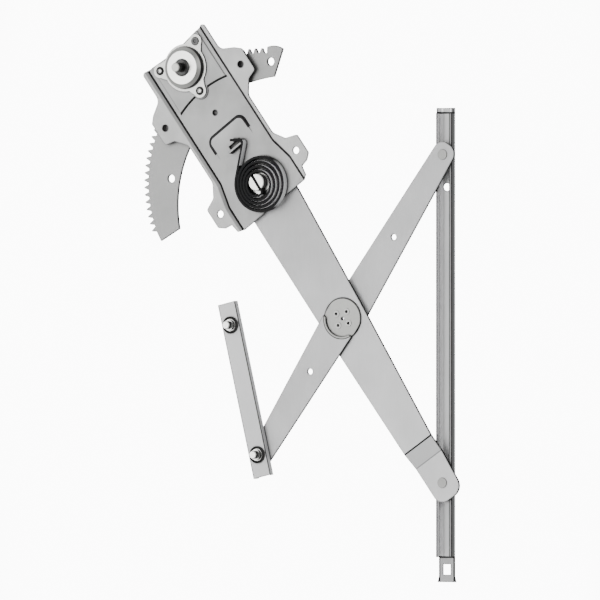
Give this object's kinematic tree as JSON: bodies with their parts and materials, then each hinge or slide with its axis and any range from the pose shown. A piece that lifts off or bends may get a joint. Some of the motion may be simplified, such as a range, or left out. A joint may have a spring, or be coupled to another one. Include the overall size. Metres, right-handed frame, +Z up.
{
  "type": "window regulator",
  "caption": "Crossed-arm manual door window regulator: crank housing, toothed sector, lift arm, balance arm, glass rail, guide rail and flat coil spring.",
  "frame": {"origin": "middle of the four mounting holes, on the mounting face of the plate's ears", "axes": "+X along the door, parallel to the glass rail; +Y into the door, away from the cabin; +Z up, the way the glass is lifted"},
  "size_m": [0.558, 0.0438, 0.3554],
  "materials": {
    "plate_steel": "zinc-plated pressed steel sheet, satin light grey",
    "arm_steel": "zinc-plated steel strip, satin light grey",
    "gear_steel": "blanked steel, satin mid grey",
    "rail_steel": "roll-formed zinc-plated channel, satin light grey",
    "housing_steel": "bright zinc-plated drawn steel",
    "rivet_steel": "zinc-plated cold-headed steel",
    "dark_steel": "phosphated dark grey steel, lightly oiled",
    "spring_steel": "oil-tempered black spring strip",
    "bush_bronze": "sintered bronze bush",
    "roller_nylon": "moulded natural nylon"
  },
  "bodies": {
    "door_plate": {"mounting_plate": "plate_steel", "pinion_housing": "housing_steel", "housing_rivets": "rivet_steel", "shaft_bush": "dark_steel", "pivot_bush": "bush_bronze", "pivot_washer": "rivet_steel", "counterbalance_spring": "spring_steel"},
    "crank": {"crank_shaft": "dark_steel", "drive_core": "dark_steel", "brake_spring": "spring_steel", "thrust_washer": "rivet_steel", "pinion_gear": "dark_steel"},
    "lift_arm": {"sector_gear": "gear_steel", "lift_arm": "arm_steel", "sector_rivets": "rivet_steel", "pivot_stud": "rivet_steel", "lift_roller_stud": "rivet_steel"},
    "lift_roller": {"lift_roller": "roller_nylon"},
    "balance_arm": {"balance_arm_front": "arm_steel", "balance_arm_rear": "arm_steel", "centre_rivets": "rivet_steel", "upper_roller_stud": "rivet_steel", "lower_roller_stud": "rivet_steel"},
    "upper_roller": {"upper_roller": "roller_nylon"},
    "glass_rail": {"glass_rail": "rail_steel"},
    "lower_roller": {"lower_roller": "roller_nylon"},
    "guide_rail": {"guide_rail": "rail_steel", "guide_studs": "rivet_steel"}
  },
  "joints": [
    {"name": "lift", "type": "hinge", "parent": "door_plate", "child": "lift_arm", "pos_m": [0.04337, 0, 0.03175], "axis": [0, -1, 0], "range_deg": [-70, 12], "deforming": ["counterbalance_spring"]},
    {"name": "crank_turn", "type": "hinge", "parent": "door_plate", "child": "crank", "pos_m": [-0.0723, 0, -0.05292], "axis": [0, -1, 0], "range_deg": [-152, 880]},
    {"name": "lift_roller_spin", "type": "hinge", "parent": "lift_arm", "child": "lift_roller", "pos_m": [0.34315, 0, 0.23395], "axis": [0, -1, 0], "continuous": true},
    {"name": "centre_pivot", "type": "hinge", "parent": "lift_arm", "child": "balance_arm", "pos_m": [0.17983, 0, 0.12379], "axis": [0, -1, 0], "range_deg": [-24.5, 140.5]},
    {"name": "upper_roller_turn", "type": "hinge", "parent": "balance_arm", "child": "upper_roller", "pos_m": [0.01651, 0, 0.23395], "axis": [0, -1, 0], "range_deg": [-70.5, 12.5]},
    {"name": "rail_slide", "type": "slide", "parent": "upper_roller", "child": "glass_rail", "axis": [1, 0, 0], "range_m": [-0.02, 0.025]},
    {"name": "guide_swivel", "type": "hinge", "parent": "balance_arm", "child": "lower_roller", "pos_m": [0.31629, 0, 0.03175], "axis": [0, -1, 0], "range_deg": [-70.5, 12.5]},
    {"name": "guide_slide", "type": "slide", "parent": "lower_roller", "child": "guide_rail", "axis": [0.9732, 0, 0.23], "range_m": [-0.012, 0.138]}
  ],
  "couplings": [
    {"joint": "crank_turn", "follows": "lift", "ratio": -12.556},
    {"joint": "centre_pivot", "follows": "lift", "ratio": -2},
    {"joint": "upper_roller_turn", "follows": "lift", "ratio": 1},
    {"joint": "guide_swivel", "follows": "lift", "ratio": 1}
  ]
}
